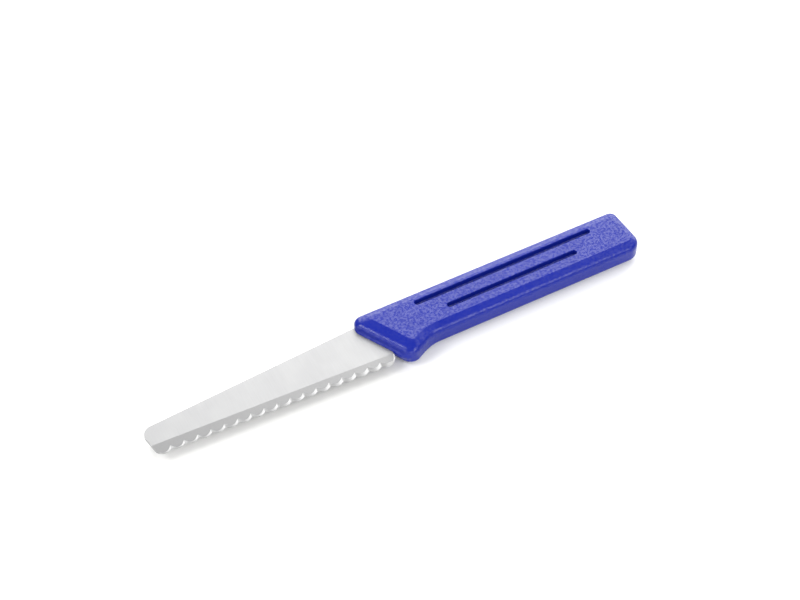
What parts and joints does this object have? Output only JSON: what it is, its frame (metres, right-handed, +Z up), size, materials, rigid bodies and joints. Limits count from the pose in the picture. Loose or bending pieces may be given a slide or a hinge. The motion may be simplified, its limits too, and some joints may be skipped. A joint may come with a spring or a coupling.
{
  "type": "serrated breakfast knife",
  "caption": "Serrated breakfast knife: a flat, slightly tapered steel blade with scalloped cutting edge and square tip, its tang locked in a moulded plastic handle with guard and grip grooves.",
  "frame": {"origin": "middle of the knife's length and width, on the handle's flat underside, which lies on the table", "axes": "+X from the blade's tip to the handle's butt, +Y towards the blade's back, +Z up through the thickness"},
  "size_m": [0.2094, 0.0252, 0.01],
  "materials": {
    "blade_steel": "finely satin-ground stainless steel, with a brighter ground edge",
    "handle_plastic": "ultramarine blue, moulded with a fine spark-eroded grain"
  },
  "bodies": {
    "root": {"blade": "blade_steel", "handle": "handle_plastic"}
  },
  "joints": []
}
